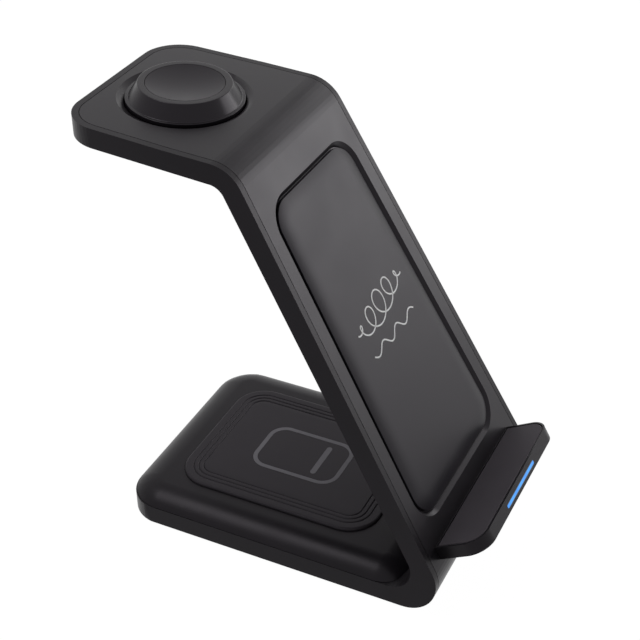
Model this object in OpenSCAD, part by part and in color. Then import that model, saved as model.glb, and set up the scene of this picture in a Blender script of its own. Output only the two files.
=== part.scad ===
// Wireless charging station: a phone panel, a watch puck and an earbud pad on one folded frame.
// Millimetres. X runs across, Y from the sharp front corner to the back, Z up from the feet.

/* [Frame] */
// width of the base at the floor
base_w = 80; // [66.7:0.1:96]
// base length from the sharp front corner to the back end
base_l = 118.8; // [99:0.1:142.6]
// lean of the phone panel from the floor in degrees
lean = 60.6; // [56:0.1:66]
// height of the upper bend corner above the base underside
bend_z = 135; // [112.5:0.1:162]
// arm length from the bend corner to its end
arm_l = 58; // [50:0.1:69.6]
// rise of the arm towards its end in degrees
arm_rise = 3; // [2.5:0.1:3.6]
// width of the arm at its end
arm_end_w = 61.6; // [58:0.1:64]
// width lost on each side per millimetre of height
side_lean = 0.0597; // [0.05:0.001:0.0716]
// thickness of the folded band
band_t = 6.4; // [6:0.1:7.6]
// height of the base skirt
skirt_h = 6.1; // [5.9:0.1:7.3]
// outer radius of the upper bend
bend_r = 12; // [10:0.1:14.4]
// outer radius of the front foot corner
nose_r = 10.7; // [9:0.1:12.8]
// radius of the hollow between base and panel
crook_r = 7.5; // [6.3:0.1:9]
// corner radius of the base in plan
base_r = 12.5; // [10.5:0.1:15]
// corner radius of the arm in plan
arm_r = 12.5; // [10.5:0.1:15]
// frame wall
wall = 1.5; // [1.3:0.05:1.8]
// width of the lip outside the cover seam
lip_w = 2.1; // [1.8:0.05:2.5]
// shoulder under the cover edge
shoulder = 1.3; // [1.1:0.05:1.55]
// seam between two shells
seam = 0.2; // [0.17:0.01:0.24]

/* [Front cover] */
// thickness of the front cover
cover_t = 1.6; // [1.35:0.05:1.9]
// share of the front corner that the cover wraps in degrees
cover_wrap = 60; // [50:1:72]
// lower edge of the phone recess along the panel
rec_s0 = 29.3; // [26:0.1:35]
// upper edge of the phone recess along the panel
rec_s1 = 139.7; // [117:0.1:146]
// width of the phone recess at its lower edge
rec_w0 = 62.6; // [53:0.1:66]
// width of the phone recess at its upper edge
rec_w1 = 51.1; // [43:0.1:56]
// corner radius of the phone recess
rec_r = 10; // [8.4:0.1:12]
// depth of the phone recess
rec_depth = 1.45; // [1.25:0.05:1.55]
// slope width of the recess wall
rec_bevel = 1.5; // [1.25:0.05:1.8]
// floor of the phone recess
rec_floor = 1.05; // [0.9:0.05:1.25]
// gap around the phone pad
pad_gap = 0.35; // [0.3:0.01:0.42]
// height of the pad over the cover surface
pad_proud = 0.15; // [0.1:0.01:0.2]
// rounding of the pad edge
pad_edge = 0.7; // [0.6:0.05:0.84]

/* [Ledge] */
// top of the ledge along the panel
ledge_s = 23.3; // [21:0.1:27]
// thickness of the ledge
ledge_t = 4.4; // [4:0.1:5.2]
// reach of the ledge out of the panel
ledge_out = 16.9; // [14.1:0.1:20.2]
// width of the ledge
ledge_w = 64.4; // [54:0.1:68]
// corner radius of the ledge
ledge_r = 7; // [5.9:0.1:8.4]
// ledge wall
ledge_wall = 1.1; // [0.95:0.05:1.3]
// rim around the ledge inlay
ledge_rim = 0.7; // [0.6:0.05:0.84]
// thickness of the inlay
inlay_t = 1.2; // [1.0:0.05:1.4]
// length of the light strip
light_w = 24; // [20:0.1:28.8]
// height of the light strip
light_h = 1.7; // [1.45:0.05:1.95]

/* [Base] */
// height of the shell plateau above the base underside
shell_z = 10.2; // [9.8:0.1:12]
// horizontal run of the rounded shell edge
shell_run = 9; // [7.5:0.1:9.7]
// front end of the shell from the sharp corner
shell_y0 = 19; // [17:0.1:22]
// plan corner radius at the front end of the shell
shell_r0 = 9.8; // [9.1:0.1:11.8]
// shell wall
shell_t = 1.5; // [1.25:0.05:1.7]
// width of the earbud pad
bud_w = 55; // [46:0.1:60]
// length of the earbud pad
bud_l = 70.5; // [59:0.1:76]
// corner radius of the earbud pad
bud_r = 11; // [9.2:0.1:13.2]
// height of the earbud pad over the shell
bud_proud = 1; // [0.85:0.05:1.2]
// depth of the pad pocket in the shell
bud_sunk = 0.5; // [0.42:0.01:0.6]
// edge rounding of the earbud pad
bud_edge = 0.8; // [0.67:0.01:0.96]
// width of one groove
groove_w = 0.6; // [0.5:0.01:0.72]
// depth of one groove
groove_d = 0.3; // [0.25:0.01:0.36]
// distance between two grooves
groove_pitch = 1.65; // [1.4:0.01:1.98]
// first groove from the pad edge
groove_in = 3.05; // [2.6:0.01:3.6]
// bottom cover thickness
bottom_t = 1.6; // [1.35:0.05:1.7]
// diameter of a foot
foot_d = 11; // [9.2:0.1:13.2]
// height of a foot below the base
foot_out = 1; // [0.85:0.05:1.2]
// depth of the foot pocket
foot_sunk = 0.6; // [0.5:0.01:0.72]
// foot centres from the base edge
foot_in = 12.5; // [11.5:0.1:14]

/* [Watch puck] */
// distance of the puck centre from the bend corner along the arm
puck_t = 32.6; // [31:0.1:36]
// radius of the puck rim
puck_r = 18; // [15:0.1:21]
// radius of the puck at its top
puck_top_r = 14.1; // [11.8:0.1:16.9]
// height of the puck over the arm
puck_h = 4.5; // [4:0.1:5.4]
// width of the flat rim at the foot of the cone
puck_rim = 0.9; // [0.75:0.05:1.1]
// radius of the dish
dish_r = 12; // [10:0.1:13]
// depth of the dish
dish_d = 1.3; // [1.1:0.05:1.55]
// thickness of the dish plate
dish_t = 1; // [0.85:0.05:1.2]
// slope width around the puck opening
moat_w = 2.2; // [1.85:0.05:2.6]
// gap between puck and opening
moat_gap = 0.4; // [0.35:0.01:0.48]

/* [Electronics] */
// width of the main board
board_w = 48; // [42:0.1:58]
// length of the main board
board_l = 62; // [52:0.1:70]
// thickness of the main board
board_t = 1.2; // [1:0.05:1.4]
// underside of the main board above the base underside
board_z = 2.6; // [2.4:0.05:2.8]
// outer diameter of the phone coils
coil_d = 42; // [35:0.1:43]
// inner diameter of the phone coils
coil_bore = 21; // [17.5:0.1:25.2]
// height of the phone coils
coil_h = 0.9; // [0.75:0.05:1]
// thickness of the ferrite sheets
ferrite_t = 0.6; // [0.5:0.05:0.7]
// outer diameter of the earbud coil
bud_coil_d = 40; // [33.4:0.1:46]
// inner diameter of the earbud coil
bud_coil_bore = 18; // [15:0.1:21.6]
// outer diameter of the watch coil
watch_coil_d = 21; // [17.5:0.1:21.2]
// inner diameter of the watch coil
watch_coil_bore = 12; // [11.5:0.1:14.4]
// width of the inlet opening
inlet_w = 9; // [8.9:0.05:9.6]
// height of the inlet opening
inlet_h = 3.3; // [3.2:0.05:3.5]
// thickness of the flat leads
lead_d = 0.6; // [0.5:0.05:0.7]

/* [Hidden] */
$fn = 64;
far = 400;
tiny = 0.01;
hair = 0.01;
turn = lean - arm_rise;
s_top = bend_z / sin(lean);
y_top = bend_z / tan(lean);
bend_run = bend_r * tan(turn / 2);
s_bend = s_top - bend_run;
y_end = y_top + arm_l * cos(arm_rise);
nose_run = nose_r * (1 + cos(lean)) / sin(lean);
crook_z = skirt_h + crook_r;
crook_s = (crook_z + (band_t + crook_r) * cos(lean)) / sin(lean);
crook_y = crook_s * cos(lean) + (band_t + crook_r) * sin(lean);
bend_y = s_bend * cos(lean) + bend_r * sin(lean);
split_z = bend_z / 2;
ledge_y0 = (ledge_s - ledge_t) * cos(lean) - ledge_out * sin(lean);
y_shift = -(ledge_y0 + y_end) / 2;
inner_w = lip_w + shoulder;
// rounded shell edge: circle through the skirt top and level with the plateau
shell_rise = shell_z - skirt_h;
shell_er = (shell_run * shell_run + shell_rise * shell_rise) / (2 * shell_rise);
shell_hw = base_w / 2 - side_lean * skirt_h;
plat_hw = shell_hw - shell_run;
plat_y0 = shell_y0 + shell_run;
plat_y1 = base_l - shell_run;
bud_y = (plat_y0 + plat_y1) / 2 + 2.2;
bud_z0 = shell_z - bud_sunk;
cavity_y0 = crook_y + 3;
board_y1 = base_l - inner_w - 0.6;
board_y0 = board_y1 - board_l;
board_top = board_z + board_t;
inlet_z = board_z + board_t / 2 + 0.35;
bud_coil_z1 = bud_z0 - shell_t * 0.75 - 0.1;
bud_coil_h = 1.05;
watch_coil_h = 1.3;
coil_seat = puck_h - dish_d - dish_t - watch_coil_h - ferrite_t - 0.15;
screw_d = 2.2;
screw_head_d = 4.2;
coil_n1 = -(rec_depth + rec_floor + 0.12);
coil_s_mid = (rec_s0 + rec_s1) / 2 + 3;
coil_s_lo = coil_s_mid - coil_d / 2 - 0.5;
coil_s_hi = coil_s_mid + coil_d / 2 + 0.5;
lead_depth = 3.75;
bend_cz = s_bend * sin(lean) - bend_r * cos(lean);
inlay_s1 = ledge_s;
guide_s = ledge_s - ledge_t + ledge_wall * 0.9 + light_h / 2 + 0.1;

function half_w(z) = base_w / 2 - side_lean * z;
function dirp(s, n) = [s * cos(lean) - n * sin(lean), s * sin(lean) + n * cos(lean)];
function dira(t, n) = [y_top + t * cos(arm_rise) - n * sin(arm_rise),
    bend_z + t * sin(arm_rise) + n * cos(arm_rise)];

module at_rest() translate([0, y_shift, foot_out]) children();
// local X across, Y up along the panel, Z out of the panel
module on_panel(s = 0) rotate([lean, 0, 0]) translate([0, s, 0]) children();
// local X across, Y along the arm, Z out of the arm
module on_arm(t = 0) translate([0, y_top, bend_z]) rotate([arm_rise, 0, 0]) translate([0, t, 0]) children();
// a side view drawing, swept over X from x0 to x1
module sweep_x(x0, x1) translate([x0, 0, 0]) rotate([90, 0, 90]) linear_extrude(x1 - x0) children();

// side view of the folded band, inset by a on the outside and by b on the inside
// each arc stops a hair short of its tangent lines, so that no two edges nearly coincide
module ribbon(a, b) {
    co = [nose_run, nose_r];
    ci = [crook_y, crook_z];
    cb = dirp(s_bend, -bend_r);
    difference() {
        union() {
            polygon([[co[0], a], [crook_y + far / 2, a], [crook_y + far / 2, skirt_h - b], [crook_y, skirt_h - b], ci,
                dirp(crook_s, b - band_t), dirp(s_bend, b - band_t), dira(bend_run, b - band_t),
                dira(arm_l + 20, b - band_t), dira(arm_l + 20, -a), dira(bend_run, -a), dirp(s_bend, -a),
                dirp(nose_run, -a)]);
            intersection() {
                translate(co) circle(nose_r - a - hair, $fn = 96);
                polygon([co, [co[0], a], [a * (1 + cos(lean)) / sin(lean), a], dirp(nose_run, -a)]);
            }
            intersection() {
                translate(cb) circle(bend_r - a - hair, $fn = 96);
                polygon([cb, cb + 3 * bend_r * [-sin(lean), cos(lean)],
                    cb + 5 * bend_r * [-sin(lean - turn / 2), cos(lean - turn / 2)],
                    cb + 3 * bend_r * [-sin(arm_rise), cos(arm_rise)]]);
            }
        }
        translate(ci) circle(crook_r + b + hair, $fn = 96);
        translate(cb) circle(bend_r - band_t + b + hair, $fn = 96);
    }
}

// outer layer of the ribbon, d thick
module ribbon_layer(d, over = 0) difference() {
    ribbon(-over, 0);
    ribbon(d, -1);
}

// plan of the arm: sides tapering from half width w1 at y1 to w2 at y2, with round end corners
module plan_end(y1, w1, y2, w2, r) {
    tau = atan((w1 - w2) / (y2 - y1));
    yc = y2 - r;
    xc = w2 + (w1 - w2) * r / (y2 - y1) - r / cos(tau);
    polygon([[-w1, y1], [w1, y1], [xc + r * cos(tau), yc + r * sin(tau)], [xc, y2], [-xc, y2],
        [-xc - r * cos(tau), yc + r * sin(tau)]]);
    for (m = [-1, 1]) translate([m * xc, yc]) circle(r, $fn = 96);
}

// all that lies inside the outline by i
module envelope(i) intersection() {
    translate([0, far, 0]) rotate([90, 0, 0]) linear_extrude(2 * far)
        polygon([[-half_w(-20) + i, -20], [half_w(-20) - i, -20], [half_w(far) - i, far], [-half_w(far) + i, far]]);
    union() {
        translate([0, 0, -20]) linear_extrude(split_z + 20)
            plan_end(-60, base_w / 2 + 2 - i, base_l - i, base_w / 2 - i - tiny, base_r - i);
        translate([0, 0, split_z - tiny]) linear_extrude(far) {
            translate([-base_w / 2, -60]) square([base_w, 60 + bend_y]);
            plan_end(bend_y - tiny, half_w(bend_z - band_t) - i, y_end - i, arm_end_w / 2 - i, arm_r - i);
        }
    }
}

// the folded band as a solid
module band(a, b, i) intersection() {
    envelope(i);
    sweep_x(-base_w, base_w) ribbon(a, b);
}

// rounded trapezoid drawing, from half width w0 at s0 to w1 at s1
module trap(s0, w0, s1, w1, r) {
    tau = atan((w0 - w1) / (s1 - s0));
    g = (w0 - w1) / (s1 - s0);
    x0 = w0 - g * r - r / cos(tau);
    x1 = w1 + g * r - r / cos(tau);
    polygon([[-x0, s0], [x0, s0], [x0 + r * cos(tau), s0 + r + r * sin(tau)], [x1 + r * cos(tau), s1 - r + r * sin(tau)],
        [x1, s1], [-x1, s1], [-x1 - r * cos(tau), s1 - r + r * sin(tau)], [-x0 - r * cos(tau), s0 + r + r * sin(tau)]]);
    for (m = [-1, 1]) {
        translate([m * x0, s0 + r]) circle(r);
        translate([m * x1, s1 - r]) circle(r);
    }
}

// phone recess outline inset by i
module recess_2d(i) trap(rec_s0 + i, rec_w0 / 2 - i, rec_s1 - i, rec_w1 / 2 - i, rec_r - i);

// rounded rectangle drawing
module rrect(w, l, r) {
    square([w - 2 * r, l], center = true);
    square([w, l - 2 * r], center = true);
    for (x = [-1, 1], y = [-1, 1]) translate([x * (w / 2 - r), y * (l / 2 - r)]) circle(r);
}

// section of a slab, w wide and h high, with its upper edges rounded by e
module soft_2d(w, h, e) {
    translate([-w / 2, 0]) square([w, h - e]);
    translate([-w / 2 + e, 0]) square([w - 2 * e, h]);
    for (m = [-1, 1]) translate([m * (w / 2 - e), h - e]) circle(e, $fn = 48);
}

// slab with a rounded upper edge of radius e
module soft_slab(w, l, r, h, e) {
    translate([0, l / 2 - r, 0]) rotate([90, 0, 0]) linear_extrude(l - 2 * r) soft_2d(w, h, e);
    translate([-w / 2 + r, 0, 0]) rotate([90, 0, 90]) linear_extrude(w - 2 * r) soft_2d(l, h, e);
    for (m = [-1, 1], k = [-1, 1]) translate([m * (w / 2 - r), k * (l / 2 - r), 0]) rotate_extrude($fn = 96)
        intersection() {
            soft_2d(2 * r, h, e);
            square([r, h]);
        }
}

// one round shell edge, seen along the edge: level top up to x = 0, then falling outwards
module edge_2d(i, z0, back) intersection() {
    union() {
        translate([-back, -far]) square([back + tiny, far + shell_z - i]);
        translate([0, shell_z - shell_er]) circle(shell_er - i, $fn = 128);
    }
    translate([-back, z0]) square([back + shell_er, shell_z - z0]);
}

// pillow of the base shell, inset by i, cut level at z0
module pillow(i, z0) {
    rb = base_r - shell_run;
    rf = shell_r0 - shell_run;
    ym = (plat_y0 + plat_y1) / 2;
    translate([0, plat_y1 - rb, 0]) rotate([90, 0, 0]) linear_extrude(plat_y1 - rb - plat_y0 - rf) {
        translate([plat_hw, 0]) edge_2d(i, z0, plat_hw + 0.1);
        mirror([1, 0]) translate([plat_hw, 0]) edge_2d(i, z0, plat_hw + 0.1);
    }
    translate([-plat_hw + rb, plat_y1, 0]) rotate([90, 0, 90]) linear_extrude(2 * (plat_hw - rb))
        edge_2d(i, z0, plat_y1 - ym);
    translate([plat_hw - rf, plat_y0, 0]) rotate([90, 0, -90]) linear_extrude(2 * (plat_hw - rf))
        edge_2d(i, z0, ym - plat_y0);
    for (m = [-1, 1]) {
        translate([m * (plat_hw - rb), plat_y1 - rb, 0]) rotate_extrude($fn = 96) translate([rb, 0]) edge_2d(i, z0, rb);
        translate([m * (plat_hw - rf), plat_y0 + rf, 0]) rotate_extrude($fn = 96) translate([rf, 0]) edge_2d(i, z0, rf);
    }
}

// plan of the opening in the base, inset by i
module base_hole(i) {
    w = 2 * (half_w(skirt_h) - inner_w - i);
    y1 = base_l - inner_w - i;
    y0 = cavity_y0 + i;
    translate([0, (y0 + y1) / 2]) rrect(w, y1 - y0, base_r - inner_w - i);
}

// places of the feet and the screws above them
module at_feet() for (x = [-1, 1], y = [crook_y + foot_in, base_l - foot_in])
    translate([x * (base_w / 2 - foot_in), y, 0]) children();

// ring of coil turns: upright bores b to d, height h
module coil_ring(d, b, h) {
    n = max(3, round((d - b) / 2 / 1.35));
    p = (d - b) / 2 / n;
    up = [for (k = [0 : n - 1], q = [[0.08, 0.8], [0.3, 1], [0.7, 1], [0.92, 0.8]]) [b / 2 + (k + q[0]) * p, h * q[1]]];
    rotate_extrude($fn = 96) polygon(concat(up, [[d / 2 - 0.08 * p, 0], [b / 2 + 0.08 * p, 0]]));
}

module screw(head_d, hh, d, l) {
    difference() {
        cylinder(d = head_d, h = hh, $fn = 32);
        for (q = [0, 90]) rotate(q) translate([-head_d * 0.32, -0.25, -0.1]) cube([head_d * 0.64, 0.5, 0.1 + hh * 0.55]);
    }
    translate([0, 0, hh - tiny]) cylinder(d = d, h = l - hh + tiny, $fn = 24);
    translate([0, 0, l]) cylinder(d1 = d, d2 = d * 0.4, h = 0.6, $fn = 24);
}

// folded frame: side walls, back wall, arm floor and base skirt
module frame() color("#252427") at_rest() {
    difference() {
        band(0, 0, 0);
        band(-1, wall, inner_w);
        intersection() {
            envelope(lip_w);
            sweep_x(-base_w, base_w) ribbon_layer(cover_t + 0.1, 1);
        }
        translate([0, 0, -5]) linear_extrude(skirt_h + 10) base_hole(0);
        // charging inlet
        translate([0, base_l - 10, inlet_z]) rotate([-90, 0, 0]) linear_extrude(20)
            rrect(inlet_w + 0.7, inlet_h + 0.5, (inlet_h + 0.5) / 2 - tiny);
    }
    // bosses on the arm floor for the puck
    at_ears() translate([0, 0, -band_t + wall - 0.05]) difference() {
        cylinder(d = 3.8, h = band_t - wall - cover_t - 1.5, $fn = 32);
        translate([0, 0, 0.35]) cylinder(d = 1.5, h = 10, $fn = 24);
    }
    // ribs that carry the ferrites on the back wall
    for (x = [-1, 1]) on_panel(coil_s_mid) translate([x * (coil_d / 2 - 3) - 0.6, -coil_d, -band_t + wall - 0.05])
        cube([1.2, 2 * coil_d, band_t - wall + coil_n1 - coil_h - ferrite_t - 0.1]);
}

// where the front cover ends under the nose
module wrap_cut(upper) {
    co = [nose_run, nose_r];
    q = lean + 90 + cover_wrap;
    g = seam / 2;
    k = upper ? 1 : -1;
    off = [k * g * cos(q - 90), k * g * sin(q - 90)];
    polygon(upper ?
        [co + off, co + off + 60 * [cos(q), sin(q)], [-300, -60], [-300, 400], [400, 400], [400, 60], co + off + [30, 9]] :
        [co + off, co + off + 60 * [cos(q), sin(q)], [-30, -60], [300, -60], [300, 9], co + off + [30, 0]]);
}

// front cover: one skin over the panel, the bend and the arm
module front_cover() color("#38373a") at_rest() difference() {
    union() {
        intersection() {
            envelope(lip_w + seam);
            sweep_x(-base_w, base_w) intersection() {
                ribbon_layer(cover_t);
                wrap_cut(true);
                translate([-50, -50]) square([far, far]);
            }
        }
        // floor of the recess
        on_panel() translate([0, 0, -rec_depth - rec_floor]) linear_extrude(rec_floor + rec_depth - cover_t + 0.4)
            recess_2d(-0.9);
        // locating ribs inside the frame walls
        intersection() {
            envelope(inner_w + 0.15);
            difference() {
                on_panel(s_bend / 2 + 20) translate([-base_w / 2, -s_bend * 0.36, -3.2])
                    cube([base_w, s_bend * 0.68, 3.2 - cover_t + 0.3]);
                envelope(inner_w + 1.15);
            }
        }
    }
    on_panel() hull() {
        translate([0, 0, -rec_depth]) linear_extrude(tiny) recess_2d(rec_bevel);
        translate([0, 0, 0.1]) linear_extrude(tiny) recess_2d(-0.1);
    }
    // puck opening with its sloping edge
    on_arm(puck_t) {
        translate([0, 0, -cover_t - 1]) cylinder(r = puck_r + moat_gap, h = cover_t + 2, $fn = 128);
        translate([0, 0, -cover_t * 0.75]) cylinder(r1 = puck_r + moat_gap, r2 = puck_r + moat_gap + moat_w * 1.05,
            h = cover_t * 0.75 + 0.1, $fn = 128);
    }
    // slots for the ledge tongues and its leads
    for (x = [-1, 1]) on_panel(ledge_s - ledge_t / 2 - 0.35) translate([x * ledge_w * 0.3, 0, -5])
        cube([10.4, 1.9, 12], center = true);
    on_panel(ledge_s - ledge_t / 2 - 0.2) cube([8, 1.8, 12], center = true);
}

// soft phone pad in the recess
module phone_pad() color("#3f3e42") at_rest() on_panel() {
    i = rec_bevel + pad_gap;
    z0 = -rec_depth + 0.02;
    hull() {
        translate([0, 0, z0]) linear_extrude(-pad_edge - z0) recess_2d(i);
        translate([0, 0, -pad_edge * 0.3]) linear_extrude(tiny) recess_2d(i + pad_edge * 0.25);
        translate([0, 0, pad_proud * 0.6]) linear_extrude(tiny) recess_2d(i + pad_edge * 0.9);
        translate([0, 0, pad_proud]) linear_extrude(tiny) recess_2d(i + pad_edge * 2.4);
    }
}

// outline of the ledge, inset by i, drawn with Y out of the panel
module ledge_2d(i) {
    r = ledge_r - i;
    w = ledge_w / 2 - i;
    y = ledge_out - i;
    translate([-w, 0]) square([2 * w, y - r]);
    translate([-w + r, 0]) square([2 * w - 2 * r, y]);
    for (m = [-1, 1]) translate([m * (w - r), y - r]) circle(r);
}

// local X across, Y out of the panel, Z up the panel, from the ledge underside
module on_ledge() on_panel(ledge_s - ledge_t) rotate([90, 0, 0]) mirror([0, 0, 1]) translate([0, 0.06, 0]) children();

// ledge that carries the phone
module ledge_tray() color("#2f2e31") at_rest() on_ledge() {
    difference() {
        linear_extrude(ledge_t) ledge_2d(0);
        translate([0, 0, ledge_wall * 0.9]) linear_extrude(ledge_t) intersection() {
            ledge_2d(ledge_rim + 0.5);
            translate([-base_w, ledge_wall]) square([2 * base_w, far]);
        }
        translate([0, 0, ledge_t - inlay_t - 0.02]) linear_extrude(ledge_t) intersection() {
            ledge_2d(ledge_rim);
            translate([-base_w, 0.5]) square([2 * base_w, far]);
        }
        // window of the light strip
        translate([0, ledge_out - 4, guide_s - ledge_s + ledge_t]) rotate([-90, 0, 0])
            linear_extrude(8) rrect(light_w + 0.1, light_h + 0.1, light_h / 2 + 0.04);
        translate([0, 0, ledge_t / 2 - 0.2]) cube([7, 4, 1.6], center = true);
    }
    // ribs under the inlay
    for (x = [-3 : 1 : 3]) if (x != 0) translate([x * ledge_w * 0.13 - 0.4, ledge_wall - 0.1, 0.5])
        cube([0.8, ledge_out - ledge_wall - 5.6, ledge_t - inlay_t - 0.55]);
    // tongues through the front cover
    for (x = [-1, 1]) translate([x * ledge_w * 0.3 - 5, -cover_t - 1.2, ledge_t / 2 - 0.35 - 0.8]) {
        cube([10, cover_t + 1.6, 1.6]);
    }
}

module ledge_inlay() color("#2b2a2d") at_rest() on_ledge() translate([0, 0, ledge_t - inlay_t])
    linear_extrude(inlay_t) intersection() {
        ledge_2d(ledge_rim + 0.3);
        translate([-base_w, 0.8]) square([2 * base_w, far]);
    }

// light strip in the front face of the ledge
module light_guide() color("#2f9bff") at_rest() on_ledge() translate([0, ledge_out - 2.5, guide_s - ledge_s + ledge_t])
    rotate([-90, 0, 0]) {
        linear_extrude(2.5) rrect(light_w, light_h, light_h / 2 - tiny);
        translate([-light_w / 2 - 0.6, -light_h / 2 + 0.1, 0]) cube([light_w + 1.2, light_h - 0.2, 1]);
    }

module led_board() color("#1f5c3a") at_rest() on_ledge()
    translate([-light_w / 2 - 0.5, ledge_out - 4.15, ledge_wall * 0.9 + 0.05]) cube([light_w + 1, 0.8, 2]);

module leds() color("#e8e6c8") at_rest() on_ledge() for (x = [-1 : 1])
    translate([x * light_w / 3 - 0.9, ledge_out - 3.36, guide_s - ledge_s + ledge_t - 0.5]) cube([1.8, 0.8, 1]);

// pillow shaped shell over the base
module base_shell() color("#2f2e31") at_rest() {
    difference() {
        union() {
            difference() {
                pillow(0, skirt_h + seam * 0.6);
                pillow(shell_t, skirt_h - 1);
            }
            // floor under the earbud pad
            translate([0, bud_y, bud_z0 - shell_t * 0.75]) linear_extrude(shell_t * 0.75 + bud_sunk - 0.1)
                rrect(bud_w + 4, bud_l + 4, bud_r + 2);
            // rim that drops into the skirt
            translate([0, 0, skirt_h - 1.8]) linear_extrude(3.5) difference() {
                base_hole(0.15);
                base_hole(1.35);
                translate([0, base_l]) square([inlet_w + 8, 20], center = true);
            }
            at_feet() translate([0, 0, board_z + 0.25]) cylinder(d = 5, h = shell_z - board_z - 0.8, $fn = 32);
        }
        sweep_x(-base_w, base_w) difference() {
            ribbon(-1, -seam * 0.6);
            translate([cavity_y0 - 0.05, -20]) square([far, far]);
        }
        translate([0, bud_y, bud_z0]) linear_extrude(far) rrect(bud_w + 0.3, bud_l + 0.3, bud_r + 0.15);
        at_feet() translate([0, 0, -5]) cylinder(d = screw_d, h = shell_z - shell_t + 4, $fn = 24);
    }
}

// soft pad for the earbud case
module earbud_pad() color("#38373a") at_rest() translate([0, bud_y, bud_z0 + 0.05]) difference() {
    h = bud_sunk + bud_proud;
    soft_slab(bud_w, bud_l, bud_r, h, bud_edge);
    for (k = [0 : 2]) {
        q = groove_in + k * groove_pitch;
        translate([0, 0, h - groove_d]) linear_extrude(1) difference() {
            rrect(bud_w - 2 * q + groove_w, bud_l - 2 * q + groove_w, bud_r - q + groove_w / 2);
            rrect(bud_w - 2 * q - groove_w, bud_l - 2 * q - groove_w, bud_r - q - groove_w / 2);
        }
    }
}

// plate under the base
module bottom_cover() color("#1f1e20") at_rest() {
    difference() {
        union() {
            intersection() {
                envelope(lip_w + seam);
                sweep_x(-base_w, base_w) intersection() {
                    difference() {
                        ribbon(0, 0);
                        ribbon(bottom_t, -1);
                    }
                    wrap_cut(false);
                    translate([-50, -50]) square([far, 50 + skirt_h]);
                }
            }
            at_feet() cylinder(d = screw_head_d + 3, h = board_z + 0.2, $fn = 48);
            // pegs under the main board
            for (x = [-1, 1], y = [board_y0 + 3, board_y1 - 9]) translate([x * (board_w / 2 - 3), y, 0.5])
                cylinder(d = 4, h = board_z - 0.52, $fn = 32);
        }
        at_feet() {
            translate([0, 0, -1]) cylinder(d = foot_d + 0.3, h = foot_sunk + 1, $fn = 64);
            translate([0, 0, -1]) cylinder(d = screw_head_d + 0.4, h = foot_sunk + 2.25, $fn = 32);
            cylinder(d = screw_d + 0.3, h = 10, $fn = 24);
        }
    }
}

module feet() color("#161617") at_rest() at_feet() {
    translate([0, 0, -foot_out + 0.3]) cylinder(d = foot_d, h = foot_out - 0.3 + foot_sunk - 0.02, $fn = 64);
    translate([0, 0, -foot_out]) cylinder(d1 = foot_d - 0.6, d2 = foot_d, h = 0.3 + tiny, $fn = 64);
}

module base_screws() color("#9a9a9c") at_rest() at_feet() translate([0, 0, foot_sunk + 0.1]) screw(screw_head_d, 1.1, screw_d - 0.1, 6);

module main_board() color("#1f5c3a") at_rest() difference() {
    translate([-board_w / 2, board_y0, board_z]) cube([board_w, board_l, board_t]);
    translate([-inlet_w / 2 - 0.3, board_y1 - 6.4, 0]) cube([inlet_w + 0.6, 20, 20]);
    for (x = [-1, 1], y = [board_y0 + 3, board_y1 - 9]) translate([x * (board_w / 2 - 3), y, 0])
        cylinder(d = 2, h = 20, $fn = 24);
}

module usb_shell() color("#b9babd") at_rest() translate([0, base_l - 1.1, inlet_z]) rotate([90, 0, 0]) {
    difference() {
        linear_extrude(inner_w + 5.8) rrect(inlet_w, inlet_h, inlet_h / 2 - tiny);
        translate([0, 0, -1]) linear_extrude(inner_w + 6) rrect(inlet_w - 0.6, inlet_h - 0.6, inlet_h / 2 - 0.3 - tiny);
    }
    // legs that hold the shell on the board
    for (x = [-1, 1], z = [inner_w + 1, inner_w + 4.2])
        translate([x * (inlet_w / 2 + 0.45) - 0.6, board_top - inlet_z + 0.01, z]) cube([1.2, 0.3, 1.2]);
}

module usb_tongue() color("#202022") at_rest() translate([0, base_l - 1.1, inlet_z]) rotate([90, 0, 0]) {
    translate([0, 0, inner_w + 3.5]) linear_extrude(1.2) rrect(inlet_w - 0.7, inlet_h - 0.7, inlet_h / 2 - 0.36);
    translate([-inlet_w / 2 + 1.2, -0.35, 1]) cube([inlet_w - 2.4, 0.7, inner_w + 3]);
}

module chips() color("#1a1a1c") at_rest() translate([0, board_y0, board_top + 0.01]) {
    translate([-board_w * 0.3, board_l * 0.3, 0]) cube([7, 7, 0.9]);
    translate([board_w * 0.12, board_l * 0.28, 0]) cube([6, 6, 0.9]);
    translate([-board_w * 0.1, board_l * 0.58, 0]) cube([5, 5, 0.9]);
    translate([board_w * 0.25, board_l * 0.6, 0]) cube([5, 4, 0.9]);
}

module inductors() color("#3b3b3e") at_rest() translate([0, board_y0, board_top + 0.01])
    for (x = [-0.38, 0.28]) translate([board_w * x, board_l * 0.76, 0]) translate([0, 0, 1.2])
        linear_extrude(2.4, center = true) rrect(5, 5, 1.2);

module capacitors() color("#b79a6a") at_rest() translate([0, board_y0, board_top + 0.01]) {
    for (k = [0 : 4]) translate([-board_w * 0.42 + k * board_w * 0.085, board_l * 0.16, 0]) cube([1.6, 3.2, 1.6]);
    for (k = [0 : 3]) translate([board_w * 0.1 + k * board_w * 0.09, board_l * 0.47, 0]) cube([1.6, 3.2, 1.6]);
}

module connectors() color("#e6e2d6") at_rest() translate([0, board_y0, board_top + 0.01])
    for (x = [-0.34, 0, 0.34]) translate([board_w * x - 3, 0.6, 0]) difference() {
        cube([6, 4.2, 2]);
        translate([0.6, -1, 0.5]) cube([4.8, 4, 1]);
    }

module earbud_coil() color("#b4703a") at_rest() translate([0, bud_y, bud_coil_z1 - bud_coil_h])
    coil_ring(bud_coil_d, bud_coil_bore, bud_coil_h);

module earbud_ferrite() color("#2c2c30") at_rest() translate([0, bud_y, bud_coil_z1 - bud_coil_h - 0.05 - ferrite_t]) {
    linear_extrude(ferrite_t) rrect(bud_coil_d + 3, bud_coil_d + 3, 4);
}

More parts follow.
